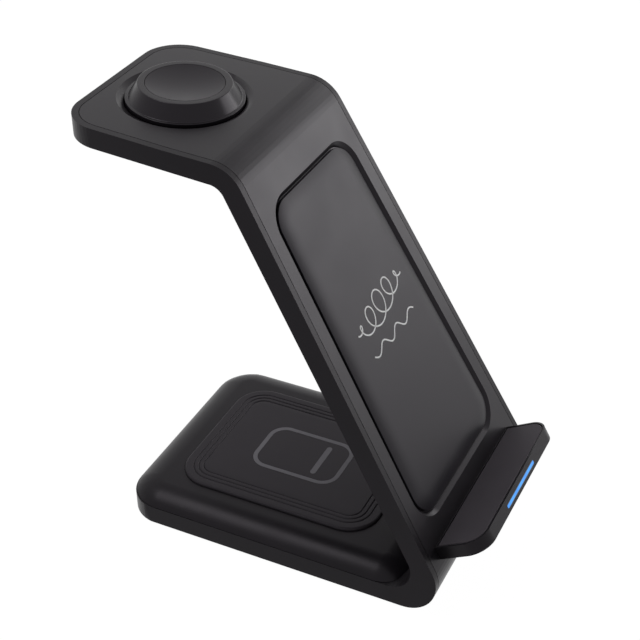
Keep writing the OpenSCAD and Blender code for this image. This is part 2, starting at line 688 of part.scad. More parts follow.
module phone_coil_lower() color("#b4703a") at_rest() on_panel(coil_s_lo) translate([0, 0, coil_n1 - coil_h])
    coil_ring(coil_d, coil_bore, coil_h);

module phone_coil_upper() color("#b4703a") at_rest() on_panel(coil_s_hi) translate([0, 0, coil_n1 - coil_h])
    coil_ring(coil_d, coil_bore, coil_h);

module phone_ferrites() color("#2c2c30") at_rest() for (s = [coil_s_lo, coil_s_hi])
    on_panel(s) translate([0, 0, coil_n1 - coil_h - ferrite_t - 0.04]) linear_extrude(ferrite_t)
        rrect(coil_d + 0.4, coil_d + 0.4, 5);

// places of the puck screws
module at_ears() on_arm(puck_t) for (q = [45 : 90 : 315]) rotate(q) translate([puck_r + 3, 0, 0]) children();

// cone shaped housing of the watch charger
module puck_body() color("#2b2a2d") at_rest() difference() {
    union() {
        on_arm(puck_t) {
            rotate_extrude($fn = 128) polygon([[0, -1.2], [puck_r, -1.2], [puck_r, 0], [puck_r - puck_rim, 0],
                [puck_r - puck_rim - 0.25, 0.3], [puck_top_r + 0.2, puck_h - 0.25], [puck_top_r - 0.15, puck_h], [0, puck_h]]);
            translate([0, 0, -cover_t - 1.5]) cylinder(r = puck_r + 1.6, h = 1.4, $fn = 128);
            translate([0, 0, -cover_t - 0.2]) cylinder(r = puck_r, h = 1, $fn = 128);
        }
        at_ears() translate([0, 0, -cover_t - 1.5]) cylinder(d = 5, h = 1.4, $fn = 48);
    }
    on_arm(puck_t) {
        translate([0, 0, -5]) cylinder(r = dish_r - 1.2, h = 5 + puck_h - 1, $fn = 96);
        translate([0, 0, puck_h - dish_d - dish_t - 0.03]) cylinder(r = dish_r, h = puck_h, $fn = 96);
        translate([0, 0, -5]) cylinder(r = puck_r - 3.6, h = 5 - 0.4, $fn = 96);
    }
    at_ears() {
        translate([0, 0, -5]) cylinder(d = 1.6, h = 5, $fn = 24);
        translate([0, 0, -cover_t - 0.85]) cylinder(d = 3.2, h = 5, $fn = 32);
    }
}

// dished plate that the watch lies on
module puck_dish() color("#3a393c") at_rest() on_arm(puck_t) {
    sr = (dish_r * dish_r + dish_d * dish_d) / (2 * dish_d);
    difference() {
        translate([0, 0, puck_h - dish_d - dish_t]) cylinder(r = dish_r - 0.08, h = dish_d + dish_t, $fn = 128);
        translate([0, 0, puck_h - dish_d + sr]) sphere(sr, $fn = 200);
    }
}

module puck_floor() color("#1f1e20") at_rest() on_arm(puck_t) difference() {
    union() {
        translate([0, 0, -cover_t - 1.5]) cylinder(r = puck_r - 3.8, h = 1.2, $fn = 96);
        translate([0, 0, -cover_t - 0.5]) cylinder(d = watch_coil_d - 0.6, h = coil_seat + cover_t + 0.5, $fn = 96);
    }
    translate([0, 0, -cover_t - 0.3]) cylinder(d = watch_coil_bore - 0.8, h = 5, $fn = 64);
    translate([0, 0, -5]) cylinder(d = 3, h = 5, $fn = 32);
}

module puck_screws() color("#9a9a9c") at_rest() at_ears() translate([0, 0, -cover_t - 0.12]) rotate([180, 0, 0])
    screw(2.9, 0.7, 1.4, 2.2);

module watch_ferrite() color("#2c2c30") at_rest() on_arm(puck_t) translate([0, 0, coil_seat + 0.02]) difference() {
    cylinder(d = watch_coil_d, h = ferrite_t, $fn = 96);
    translate([0, 0, -1]) cylinder(d = watch_coil_bore - 0.6, h = 5, $fn = 64);
}

module watch_coil() color("#b4703a") at_rest() on_arm(puck_t) translate([0, 0, coil_seat + ferrite_t + 0.04])
    coil_ring(watch_coil_d, watch_coil_bore, watch_coil_h);

module watch_magnet() color("#b9babd") at_rest() on_arm(puck_t) translate([0, 0, -cover_t - 0.28])
    cylinder(d = watch_coil_bore - 1, h = puck_h - dish_d - dish_t + cover_t + 0.2, $fn = 64);

module watch_board() color("#1f5c3a") at_rest() on_arm(puck_t) translate([-9, -7, -band_t + wall + 0.05]) cube([18, 14, 0.8]);

// flat lead that follows the folded band, from y0 in the base up to s1 on the panel
module lead_strip(x, w, y0, s1) sweep_x(x - w / 2, x + w / 2) intersection() {
    difference() {
        ribbon(lead_depth - lead_d / 2, 0);
        ribbon(lead_depth + lead_d / 2, -1);
    }
    union() {
        polygon([dirp(s1, 60), dirp(s1, -60), dirp(-60, -60), dirp(-60, 60)]);
        translate([-50, -5]) square([50 + y0, 5 + skirt_h]);
    }
    polygon([[-50, -5], [y0, -5], [y0, skirt_h], [crook_y, crook_z], [far, far], [-50, far]]);
}

module phone_leads() color("#b03a2e") at_rest() for (m = [0, 1]) {
    lead_strip(m * 2.4 - board_w * 0.34 - 1.2, 1.2, board_y0 - 0.1, coil_s_lo - coil_d / 2 - 0.5);
    lead_strip(-coil_d / 2 - 1.6 - m * 1.5, 1.2, board_y0 - 0.1, coil_s_hi);
}

// flat lead over the bend to the watch board
module watch_leads() color("#2a2a2c") at_rest() {
    x = coil_d / 2 + 2.6;
    t1 = puck_t - 3;
    lead_strip(x, 3, board_y0 - 0.1, s_bend + 0.01);
    sweep_x(x - 1.5, x + 1.5) intersection() {
        difference() {
            ribbon(lead_depth - lead_d / 2, 0);
            ribbon(lead_depth + lead_d / 2, -1);
        }
        polygon([dirp(s_bend, 20), dirp(s_bend, -bend_r), dira(t1, -bend_r), dira(t1, 20)]);
    }
    on_arm(t1 - 0.1) translate([9.2, 0, -lead_depth - lead_d / 2]) cube([x + 1.5 - 9.2, 3, lead_d]);
}

module led_leads() color("#2a2a2c") at_rest() {
    s1 = ledge_s - ledge_t / 2 - 0.2;
    lead_strip(0, 3, board_y0 - 0.1, s1 + lead_d / 2);
    on_panel(s1) translate([-1.5, -lead_d / 2, -lead_depth - lead_d / 2]) cube([3, lead_d, lead_depth + ledge_out - 4]);
}

frame();
front_cover();
phone_pad();
ledge_tray();
ledge_inlay();
light_guide();
led_board();
leds();
base_shell();
earbud_pad();
bottom_cover();
feet();
base_screws();
main_board();
usb_shell();
usb_tongue();
chips();
inductors();
capacitors();
connectors();
earbud_coil();
earbud_ferrite();
phone_coil_lower();
phone_coil_upper();
phone_ferrites();
puck_body();
puck_dish();
puck_floor();
puck_screws();
watch_coil();
watch_magnet();
watch_ferrite();
watch_board();
phone_leads();
watch_leads();
led_leads();
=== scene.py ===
"""Looks of a folded desk charging stand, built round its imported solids.

The stand is one soft touch moulding: a base with an earbud pad, a leaning
panel with a ledge and a phone pad, and a flat arm with a watch puck. Sizes
in the classes below are millimetres; every mesh is written in metres.
"""

import logging
import math
from dataclasses import dataclass, field
from enum import Enum

import bmesh
import bpy
import numpy as np
from mathutils import Matrix, Vector


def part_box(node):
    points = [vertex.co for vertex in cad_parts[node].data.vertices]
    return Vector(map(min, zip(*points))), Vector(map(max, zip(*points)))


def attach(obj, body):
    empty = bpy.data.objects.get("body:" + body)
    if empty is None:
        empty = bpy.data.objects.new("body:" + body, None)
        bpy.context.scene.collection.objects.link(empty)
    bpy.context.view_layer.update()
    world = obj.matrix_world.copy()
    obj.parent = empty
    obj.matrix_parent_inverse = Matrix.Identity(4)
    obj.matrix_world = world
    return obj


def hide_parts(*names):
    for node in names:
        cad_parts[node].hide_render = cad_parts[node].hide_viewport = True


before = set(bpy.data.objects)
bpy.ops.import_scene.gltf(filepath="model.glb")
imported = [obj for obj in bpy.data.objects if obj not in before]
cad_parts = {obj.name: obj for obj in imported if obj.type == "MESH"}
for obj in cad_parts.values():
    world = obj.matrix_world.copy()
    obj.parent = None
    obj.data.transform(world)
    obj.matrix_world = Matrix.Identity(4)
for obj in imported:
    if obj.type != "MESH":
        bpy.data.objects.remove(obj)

MM = 0.001
LEAN = math.radians(60.6)
ACROSS = (1.0, 0.0, 0.0)
PANEL_UP = (0.0, math.cos(LEAN), math.sin(LEAN))
# how far the middle of the light strip lies from zero along PANEL_UP, in millimetres
LED_LEVEL = -9.84
# foot of the panel's face and middle of the arm's face, in millimetres, and the arm's slope
PANEL_FOOT = (0.0, -64.272, 1.0)
ARM_MIDDLE = (0.0, 44.352, 137.706)
ARM_RISE = math.radians(3.0)
# faces within the first angle of each other are one plane; an edge that turns by more than
# the second is rounded or stays sharp
FLAT_DEG = 0.6
EDGE_DEG = 30.0
# points nearer than this are one point, in metres: in a new piece, and in a copied node
PIECE_MERGE = 1e-7
NODE_MERGE = 2e-6
LOG = logging.getLogger("charging_stand")
Array = np.ndarray
NodeInput = float | tuple | list | bpy.types.NodeSocket


def linear(hex_colour: str) -> tuple[float, float, float, float]:
    """Turns an sRGB hex colour into the linear colour that nodes take.

    Each channel c is c / 12.92 up to 0.04045, else ((c + 0.055) / 1.055)
    to the power 2.4.

    Args:
        hex_colour: Six hex digits with a leading hash.

    Returns:
        Linear red, green and blue, and an alpha of 1.
    """
    srgb = np.array([int(hex_colour[k : k + 2], 16) for k in (1, 3, 5)]) / 255.0
    value = np.where(srgb <= 0.04045, srgb / 12.92, ((srgb + 0.055) / 1.055) ** 2.4)
    return (float(value[0]), float(value[1]), float(value[2]), 1.0)


def add_node(
    tree: bpy.types.NodeTree,
    kind: str,
    settings: dict[str, object] | None = None,
    inputs: dict[str | int, NodeInput] | None = None,
) -> bpy.types.Node:
    """Adds one shader node with its settings, values and links.

    Args:
        tree: The node tree that takes the node.
        kind: Blender's name for the node type.
        settings: Properties of the node itself.
        inputs: A value, or an output socket to link, for each named input.

    Returns:
        The new node.
    """
    made = tree.nodes.new(kind)
    for name, value in (settings or {}).items():
        setattr(made, name, value)
    for name, value in (inputs or {}).items():
        socket = made.inputs[name]
        if isinstance(value, bpy.types.NodeSocket):
            tree.links.new(value, socket)
        else:
            socket.default_value = value
    return made


def set_ramp(ramp: bpy.types.Node, stops: list[tuple[float, str]]) -> None:
    """Writes the stops of a Color Ramp node.

    Args:
        ramp: The node.
        stops: Position and hex colour of each stop, in order.
    """
    elements = ramp.color_ramp.elements
    while len(elements) < len(stops):
        elements.new(1.0)
    for element, (place, colour) in zip(elements, stops):
        element.position = place
        element.color = linear(colour)


@dataclass(frozen=True)
class Finish:
    """A surface finish that builds one material.

    Attributes:
        name: The material's name.
    """

    name: str

    def material(self) -> bpy.types.Material:
        """Builds the material, or finds it where it has been built.

        Returns:
            The material.
        """
        known = bpy.data.materials.get(self.name)
        if known is not None:
            return known
        made = bpy.data.materials.new(self.name)
        made.use_nodes = True
        tree = made.node_tree
        tree.nodes.clear()
        shader = self.shader(tree)
        out = add_node(tree, "ShaderNodeOutputMaterial")
        tree.links.new(shader.outputs["BSDF"], out.inputs["Surface"])
        return made

    def shader(self, tree: bpy.types.NodeTree) -> bpy.types.Node:
        """Adds the nodes of one kind of finish.

        Args:
            tree: The material's node tree.

        Returns:
            The node whose BSDF dresses the surface.
        """
        raise NotImplementedError


@dataclass(frozen=True)
class MouldedFinish(Finish):
    """A moulded or coated surface with a fine grain and a faint mottle.

    Attributes:
        tint: Main colour.
        rubbed: Colour where the surface is a little more worn.
        smooth: Roughness at its smoothest.
        matt: Roughness at its mattest.
        grain_mm: Size of the grain.
        relief_mm: Height of the grain.
        mottle_mm: Size of the patches that hands leave.
        specular: Specular level of the shader.
        coat: Clear coat weight.
        gloss_tint: Colour of the reflections.
    """

    tint: str
    rubbed: str
    smooth: float
    matt: float
    grain_mm: float = 0.25
    relief_mm: float = 0.004
    mottle_mm: float = 14.0
    specular: float = 0.5
    coat: float = 0.0
    gloss_tint: str = "#fdf6ff"

    def shader(self, tree: bpy.types.NodeTree) -> bpy.types.Node:
        """Adds a mottled colour and roughness, with a fine grain in relief.

        Args:
            tree: The material's node tree.

        Returns:
            The node whose BSDF dresses the surface.
        """
        place = add_node(tree, "ShaderNodeTexCoord").outputs["Object"]
        mottle = add_node(
            tree,
            "ShaderNodeTexNoise",
            inputs={"Vector": place, "Scale": 1 / (self.mottle_mm * MM), "Detail": 3.0},
        ).outputs["Fac"]
        grain = add_node(
            tree,
            "ShaderNodeTexNoise",
            inputs={"Vector": place, "Scale": 1 / (self.grain_mm * MM), "Detail": 2.0},
        ).outputs["Fac"]
        colour = add_node(tree, "ShaderNodeValToRGB", inputs={"Fac": mottle})
        set_ramp(colour, [(0.38, self.tint), (0.72, self.rubbed)])
        rough = add_node(
            tree,
            "ShaderNodeMapRange",
            inputs={
                "Value": mottle,
                "From Min": 0.3,
                "From Max": 0.7,
                "To Min": self.smooth,
                "To Max": self.matt,
            },
        ).outputs["Result"]
        bump = add_node(
            tree,
            "ShaderNodeBump",
            inputs={"Height": grain, "Strength": 1.0, "Distance": self.relief_mm * MM},
        ).outputs["Normal"]
        return add_node(
            tree,
            "ShaderNodeBsdfPrincipled",
            inputs={
                "Base Color": colour.outputs["Color"],
                "Roughness": rough,
                "Normal": bump,
                "Specular IOR Level": self.specular,
                "Specular Tint": linear(self.gloss_tint),
                "Coat Weight": self.coat,
                "Coat Roughness": 0.2,
            },
        )


@dataclass(frozen=True)
class MetalFinish(Finish):
    """Bare or plated metal with fine marks that run one way.

    Attributes:
        tint: Main colour.
        tarnish: Colour of the duller patches.
        rough: Mean roughness.
        line_mm: Spacing of the marks.
    """

    tint: str
    tarnish: str
    rough: float
    line_mm: float = 0.2

    def shader(self, tree: bpy.types.NodeTree) -> bpy.types.Node:
        """Adds a metal whose colour and roughness follow its marks.

        Args:
            tree: The material's node tree.

        Returns:
            The node whose BSDF dresses the surface.
        """
        place = add_node(tree, "ShaderNodeTexCoord").outputs["Object"]
        stretched = add_node(
            tree,
            "ShaderNodeMapping",
            inputs={"Vector": place, "Scale": (1.0, 0.06, 1.0)},
        ).outputs["Vector"]
        marks = add_node(
            tree,
            "ShaderNodeTexNoise",
            inputs={"Vector": stretched, "Scale": 1 / (self.line_mm * MM), "Detail": 3.0},
        ).outputs["Fac"]
        colour = add_node(tree, "ShaderNodeValToRGB", inputs={"Fac": marks})
        set_ramp(colour, [(0.35, self.tarnish), (0.65, self.tint)])
        rough = add_node(
            tree,
            "ShaderNodeMapRange",
            inputs={"Value": marks, "To Min": self.rough * 0.8, "To Max": self.rough * 1.25},
        ).outputs["Result"]
        return add_node(
            tree,
            "ShaderNodeBsdfPrincipled",
            inputs={"Base Color": colour.outputs["Color"], "Roughness": rough, "Metallic": 1.0},
        )


@dataclass(frozen=True)
class LitGuideFinish(Finish):
    """Milky light guide lit from behind by three small lamps.

    Attributes:
        glow: Colour of the light.
        core: Colour over the lamps, a little paler.
        strength: Emission strength.
        pitch_mm: Distance between lamps.
        core_mm: Height of the lit core.
        level_mm: Place of the core's middle along the up axis.
        up_axis: Direction across the strip.
    """

    glow: str
    core: str
    strength: float
    pitch_mm: float
    core_mm: float
    level_mm: float
    up_axis: tuple[float, float, float]

    def shader(self, tree: bpy.types.NodeTree) -> bpy.types.Node:
        """Adds a dark body with a lit band, paler over each lamp.

        The band is lit where a point lies within half the core of its middle,
        and its colour follows the cosine of the way along it.

        Args:
            tree: The material's node tree.

        Returns:
            The node whose BSDF dresses the surface.
        """
        place = add_node(tree, "ShaderNodeTexCoord").outputs["Object"]
        across = add_node(tree, "ShaderNodeSeparateXYZ", inputs={"Vector": place}).outputs["X"]
        rise = add_node(
            tree,
            "ShaderNodeVectorMath",
            {"operation": "DOT_PRODUCT"},
            {0: place, 1: self.up_axis},
        ).outputs["Value"]
        off = add_node(
            tree, "ShaderNodeMath", {"operation": "SUBTRACT"}, {0: rise, 1: self.level_mm * MM}
        ).outputs["Value"]
        far = add_node(tree, "ShaderNodeMath", {"operation": "ABSOLUTE"}, {0: off}).outputs["Value"]
        lit = add_node(
            tree,
            "ShaderNodeMapRange",
            inputs={
                "Value": far,
                "From Min": (self.core_mm / 2 - 0.05) * MM,
                "From Max": (self.core_mm / 2 + 0.08) * MM,
                "To Min": self.strength,
                "To Max": 0.0,
            },
        ).outputs["Result"]
        turn = add_node(
            tree,
            "ShaderNodeMath",
            {"operation": "MULTIPLY"},
            {0: across, 1: 2 * math.pi / (self.pitch_mm * MM)},
        ).outputs["Value"]
        wave = add_node(tree, "ShaderNodeMath", {"operation": "COSINE"}, {0: turn}).outputs["Value"]
        colour = add_node(
            tree,
            "ShaderNodeMapRange",
            inputs={"Value": wave, "From Min": -1.0, "From Max": 1.0, "To Min": 0.0, "To Max": 1.0},
        ).outputs["Result"]
        ramp = add_node(tree, "ShaderNodeValToRGB", inputs={"Fac": colour})
        set_ramp(ramp, [(0.0, self.glow), (1.0, self.core)])
        return add_node(
            tree,
            "ShaderNodeBsdfPrincipled",
            inputs={
                "Base Color": linear("#141417"),
                "Roughness": 0.35,
                "Emission Color": ramp.outputs["Color"],
                "Emission Strength": lit,
            },
        )


# The specular levels of the dark plastics were matched to the photograph under a plain white
# surround. Each grain is drawn coarser than the real one. Up to 0.3 mm it is still finer than
# a pixel at the photograph's view, where it only softens a reflection.
# Soft touch paint on moulded ABS: near black, silky, with no sharp reflection.
SOFT_TOUCH = MouldedFinish(
    "soft_touch_paint_on_abs", "#1b191c", "#1e1b1f", 0.30, 0.35, specular=0.14
)
# The same paint on the front cover, a little glossier, with its tint a shade lighter as painted
# light for the extra light that its face catches.
SOFT_TOUCH_COVER_PAINTED_LIGHT = MouldedFinish(
    "soft_touch_paint_front_cover_painted_light", "#1c1a1d", "#1f1c20", 0.29, 0.34, specular=0.19
)
# Smooth cast silicone of the phone pad: even, a little paler than the paint.
PAD_SILICONE = MouldedFinish(
    "cast_silicone_phone_pad", "#201e22", "#232125", 0.34, 0.39, 0.2, 0.002, specular=0.17
)
# Cast silicone of the earbud pad: paler and more matt than the phone pad, so that its
# grooves show softly.
TRAY_SILICONE = MouldedFinish(
    "cast_silicone_tray", "#302d31", "#333034", 0.42, 0.48, 0.2, 0.003, specular=0.12
)
# Silicone inlay of the ledge: the palest silicone, so that it stands out from the tray.
INLAY_SILICONE = MouldedFinish(
    "cast_silicone_inlay", "#4a464b", "#4d494e", 0.6, 0.65, 0.2, 0.003, specular=0.16
)
# Matt face of the watch dish: the shallow hollow shows as one even gradient.
DISH_PLASTIC = MouldedFinish(
    "matt_polycarbonate_dish", "#1f1c20", "#221f23", 0.41, 0.45, 0.15, 0.001, specular=0.17
)
# Satin polycarbonate of the watch puck, moulded smooth: its cone shows soft streaks of light.
PUCK_PLASTIC = MouldedFinish(
    "satin_polycarbonate", "#1b181c", "#1e1b1f", 0.21, 0.25, 0.15, 0.001, specular=0.19
)
# Unpainted moulded ABS under the base and inside: dull, with a coarse grain.
PLAIN_ABS = MouldedFinish(
    "textured_abs", "#161517", "#1a191b", 0.55, 0.65, 0.5, 0.012, specular=0.12
)
# Grey ink of the earbud sign, printed on the silicone: flat, and clearly paler than the pad.
GREY_INK = MouldedFinish(
    "grey_pad_ink", "#77757a", "#7d7b80", 0.55, 0.6, 0.2, 0.002, specular=0.09
)
# White ink of the line drawing on the phone pad: flat and clear against the pad.
WHITE_INK = MouldedFinish(
    "white_pad_ink", "#f4f4f4", "#f8f8f8", 0.55, 0.6, 0.2, 0.002, specular=0.09
)
# Vulcanised rubber feet: matt and dusty.
FOOT_RUBBER = MouldedFinish(
    "vulcanised_rubber", "#131314", "#1b1b1c", 0.75, 0.85, 0.6, 0.02, specular=0.09
)
# Light guide of milky acrylic: an even blue line, a little paler over each lamp.
LIGHT_GUIDE = LitGuideFinish(
    "lit_acrylic_guide", "#1b93f5", "#2ea3ff", 0.95, 8.0, 1.05, LED_LEVEL, PANEL_UP
)
# Enamelled copper winding: warm brown metal with fine streaks.
COPPER = MetalFinish("enamelled_copper_wire", "#b4703a", "#8f5226", 0.38, 0.3)
# Zinc plated steel screws: cool light grey, faintly streaked.
ZINC = MetalFinish("zinc_plated_steel", "#b9babd", "#98999c", 0.3)
# Nickel plated steel of the inlet and the magnet: the brightest and smoothest metal.
NICKEL = MetalFinish("nickel_plated_steel", "#c6c6c9", "#a9a9ad", 0.22)
# Pressed and sintered ferrite: dark grey, dry and grainy.
FERRITE = MouldedFinish("sintered_ferrite", "#26262a", "#303035", 0.6, 0.75, 0.3, 0.01)
# Solder mask on glass epoxy boards: green under a thin clear gloss.
SOLDER_MASK = MouldedFinish("green_solder_mask", "#1f5c3a", "#24693f", 0.3, 0.4, coat=0.3)
# Moulded epoxy of the chips: dull black.
EPOXY = MouldedFinish("black_moulding_epoxy", "#18181a", "#202022", 0.55, 0.65)
# Fired ceramic of the capacitors: sandy brown and dull.
CERAMIC = MouldedFinish("fired_barium_titanate", "#a98d66", "#b79b73", 0.5, 0.6)
# Undyed moulded nylon of the connectors: off white, a little waxy.
NYLON = MouldedFinish("natural_nylon", "#e1dcca", "#eae5d4", 0.45, 0.55)
# Resin body of the small lamps: pale yellow.
LED_BODY = MouldedFinish("led_package_resin", "#e8e6c8", "#f2f0d8", 0.35, 0.45)
# Extruded PVC of the leads: red to the phone coils, black elsewhere, with a soft gloss.
RED_FLEX = MouldedFinish("red_pvc_insulation", "#a3362b", "#b03a2e", 0.4, 0.5)
BLACK_FLEX = MouldedFinish("black_pvc_insulation", "#1b1b1d", "#262628", 0.4, 0.5)


class Slot(Enum):
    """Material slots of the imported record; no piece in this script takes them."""

    SHELL = "soft_touch_shell"
    COVER = "soft_touch_cover"
    PAD = "silicone_pad"
    PUCK = "puck_polycarbonate"


@dataclass(frozen=True)
class Seat:
    """A place on the stand with its own axes.

    Attributes:
        origin: Where its zero lies, in millimetres of the shared frame.
        across: Direction of its first coordinate.
        along: Direction of its second coordinate.
        out: Direction of its third coordinate, away from the surface.
    """

    origin: tuple[float, float, float]
    across: tuple[float, float, float]
    along: tuple[float, float, float]
    out: tuple[float, float, float]

    def place(self, local: Array) -> Array:
        """Turns local points into the shared frame.

        The result is the origin plus each coordinate times its axis, in metres.

        Args:
            local: Points in millimetres, the last axis holding x, y and z.

        Returns:
            Points in metres, in the same arrangement.
        """
        axes = np.array([self.across, self.along, self.out])
        return (np.asarray(local, float) @ axes + np.array(self.origin)) * MM


def outline(corners: Array, radius: float, insets: Array, steps: int = 14) -> Array:
    """Closed outlines of a convex drawing with round corners, one per inset.

    The centre of each corner's arc lies inward of both its sides by the
    radius. An inset shrinks the arc about that centre, so every side moves in
    by the inset and all outlines have matching points.

    Args:
        corners: Corner points, counter clockwise, shape (k, 2).
        radius: Corner radius at inset 0.
        insets: One inset per outline, below the radius.
        steps: Points along each arc.

    Returns:
        Points of shape (insets, k * steps, 2).
    """
    back = corners - np.roll(corners, 1, axis=0)
    ahead = np.roll(corners, -1, axis=0) - corners
    back = back / np.linalg.norm(back, axis=1, keepdims=True)
    ahead = ahead / np.linalg.norm(ahead, axis=1, keepdims=True)
    left_back = np.stack([-back[:, 1], back[:, 0]], axis=1)
    left_ahead = np.stack([-ahead[:, 1], ahead[:, 0]], axis=1)
    dot = np.sum(left_back * left_ahead, axis=1, keepdims=True)
    centre = corners + radius * (left_back + left_ahead) / (1 + dot)
    start = np.arctan2(-left_back[:, 1], -left_back[:, 0])
    sweep = np.arccos(np.clip(dot[:, 0], -1, 1))
    angle = start[:, None] + sweep[:, None] * np.linspace(0, 1, steps)[None, :]
    arc = np.stack([np.cos(angle), np.sin(angle)], axis=-1)
    reach = (radius - np.asarray(insets, float))[:, None, None, None]
    points = centre[None, :, None, :] + reach * arc[None]
    return points.reshape(len(reach), -1, 2)


def lift_rings(flat: Array, heights: Array) -> Array:
    """Gives each flat outline its own height as a third coordinate.

    Args:
        flat: Outlines of shape (rings, points, 2).
        heights: One height per ring.

    Returns:
        Points of shape (rings, points, 3).
    """
    level = np.broadcast_to(heights[:, None, None], flat.shape[:2] + (1,))
    return np.concatenate([flat, level], axis=-1)


def fillet(start: tuple[float, float], end: tuple[float, float], steps: int) -> Array:
    """Rounded edge in a profile of inset against height.

    It is a quarter ellipse that leaves start upright and reaches end level:
    at angle t it has gone 1 - cos t of the inset and sin t of the height.

    Args:
        start: Inset and height where the arc begins.
        end: Inset and height where it ends.
        steps: Points along the arc.

    Returns:
        Insets and heights, shape (steps, 2).
    """
    t = np.linspace(0, math.pi / 2, steps)
    a, b = np.array(start, float), np.array(end, float)
    return a + (b - a) * np.stack([1 - np.cos(t), np.sin(t)], axis=1)


def rectangle(half_w: float, half_h: float, shift: float = 0.0) -> Array:
    """Lays out a rectangle round zero, moved along its second axis.

    Args:
        half_w: Half its size along the first axis.
        half_h: Half its size along the second axis.
        shift: How far it is moved.

    Returns:
        Its four corner points, counter clockwise.
    """
    low, high = shift - half_h, shift + half_h
    return np.array([[-half_w, low], [half_w, low], [half_w, high], [-half_w, high]])


def add_piece(
    name: str,
    rings: Array,
    finish: Finish,
    replaces: tuple[str, ...] = (),
    joined_ends: bool = False,
    sharp_deg: float = EDGE_DEG,
) -> None:
    """Skins matching closed rings into one closed mesh and adds it.

    Neighbouring rings are joined by a band of quads. The first and the last
    ring are filled, or joined to each other where the section is a closed tube.

    Args:
        name: The piece's name.
        rings: Points in metres, shape (rings, points, 3).
        finish: The finish that dresses it.
        replaces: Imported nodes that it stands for.
        joined_ends: Whether the last ring joins the first.
        sharp_deg: Edges that turn by more than this stay sharp.
    """
    count, around = rings.shape[:2]
    bands = count if joined_ends else count - 1
    row = np.arange(bands)[:, None]
    col = np.arange(around)[None, :]
    nxt_row, nxt_col = (row + 1) % count, (col + 1) % around
    here, there = row * around, nxt_row * around
    quads = np.stack([here + col, here + nxt_col, there + nxt_col, there + col], axis=-1)
    faces = quads.reshape(-1, 4).tolist()
    if not joined_ends:
        faces.append(np.arange(around)[::-1].tolist())
        faces.append((np.arange(around) + (count - 1) * around).tolist())
    mesh = bpy.data.meshes.new(name)
    mesh.from_pydata(rings.reshape(-1, 3).tolist(), [], faces)
    work = bmesh.new()
    work.from_mesh(mesh)
    bmesh.ops.remove_doubles(work, verts=work.verts, dist=PIECE_MERGE)
    bmesh.ops.recalc_face_normals(work, faces=work.faces)
    if work.calc_volume(signed=True) < 0:
        bmesh.ops.reverse_faces(work, faces=work.faces)
    work.to_mesh(mesh)
    work.free()
    piece = dress_mesh(name, mesh, finish, replaces, sharp_deg)
    even_normals(piece)


def dress_mesh(
    name: str,
    mesh: bpy.types.Mesh,
    finish: Finish,
    replaces: tuple[str, ...],
    sharp_deg: float,
) -> bpy.types.Object:
    """Puts a finished mesh in the scene with its material and its body.

    Args:
        name: The piece's name.
        mesh: The mesh, already in place.
        finish: The finish that dresses it.
        replaces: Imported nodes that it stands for.
        sharp_deg: Edges that turn by more than this stay sharp.

    Returns:
        The new object.
    """
    piece = bpy.data.objects.new(name, mesh)
    bpy.context.scene.collection.objects.link(piece)
    mesh.materials.clear()
    mesh.materials.append(finish.material())
    mesh.shade_smooth()
    mesh.set_sharp_from_angle(angle=math.radians(sharp_deg))
    if replaces:
        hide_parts(*replaces)
    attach(piece, "root")
    LOG.info("%s: %d faces", name, len(mesh.polygons))
    return piece


def even_normals(piece: bpy.types.Object) -> None:
    """Lets large flat faces keep their own direction beside rounded edges.

    Each point's normal is the mean of its faces' normals by their area.

    Args:
        piece: The object that takes the modifier.
    """
    even = piece.modifiers.new("even_normals", "WEIGHTED_NORMAL")
    even.mode = "FACE_AREA"
    even.weight = 50
    even.keep_sharp = True


def soften_node(
    node: str,
    name: str,
    finish: Finish,
    edge_mm: float,
    segments: int = 3,
) -> None:
    """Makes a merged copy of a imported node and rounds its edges.

    Doubles are merged, triangles in one plane join into one face, and a bevel
    rounds each edge that turns by more than 30 degrees.

    Args:
        node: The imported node.
        name: The new piece's name.
        finish: The finish that dresses it.
        edge_mm: Width of the rounded edges.
        segments: Faces across a rounded edge.
    """
    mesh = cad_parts[node].data.copy()
    mesh.name = name
    work = bmesh.new()
    work.from_mesh(mesh)
    bmesh.ops.remove_doubles(work, verts=work.verts, dist=NODE_MERGE)
    bmesh.ops.dissolve_limit(
        work,
        angle_limit=math.radians(FLAT_DEG),
        verts=work.verts,
        edges=work.edges,
        use_dissolve_boundaries=False,
    )
    work.to_mesh(mesh)
    work.free()
    piece = dress_mesh(name, mesh, finish, (node,), EDGE_DEG)
    bevel = piece.modifiers.new("rounded_edges", "BEVEL")
    bevel.limit_method = "ANGLE"
    bevel.angle_limit = math.radians(EDGE_DEG)
    bevel.width = edge_mm * MM
    bevel.segments = segments
    bevel.harden_normals = False
    bevel.use_clamp_overlap = True
    even_normals(piece)


def dress_node(node: str, finish: Finish) -> None:
    """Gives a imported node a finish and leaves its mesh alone.

    Args:
        node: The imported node.
        finish: The finish that dresses it.
    """
    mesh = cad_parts[node].data
    mesh.materials.clear()
    mesh.materials.append(finish.material())


@dataclass
class FoldedBody:
    """The folded frame and its front cover.

    Attributes:
        lip_edge_mm: Rounding of the outer edges.
        cover_edge_mm: Rounding of the cover's edges at the seam.
    """

    lip_edge_mm: float = 0.45
    cover_edge_mm: float = 0.3

    def build(self) -> None:
        """Makes softened copies of the frame and the cover."""
        soften_node("frame", "folded_frame", SOFT_TOUCH, self.lip_edge_mm)
        # the cover takes the same paint tinted a shade lighter, as painted light on its face
        soften_node(
            "front_cover", "front_face_cover", SOFT_TOUCH_COVER_PAINTED_LIGHT, self.cover_edge_mm
        )


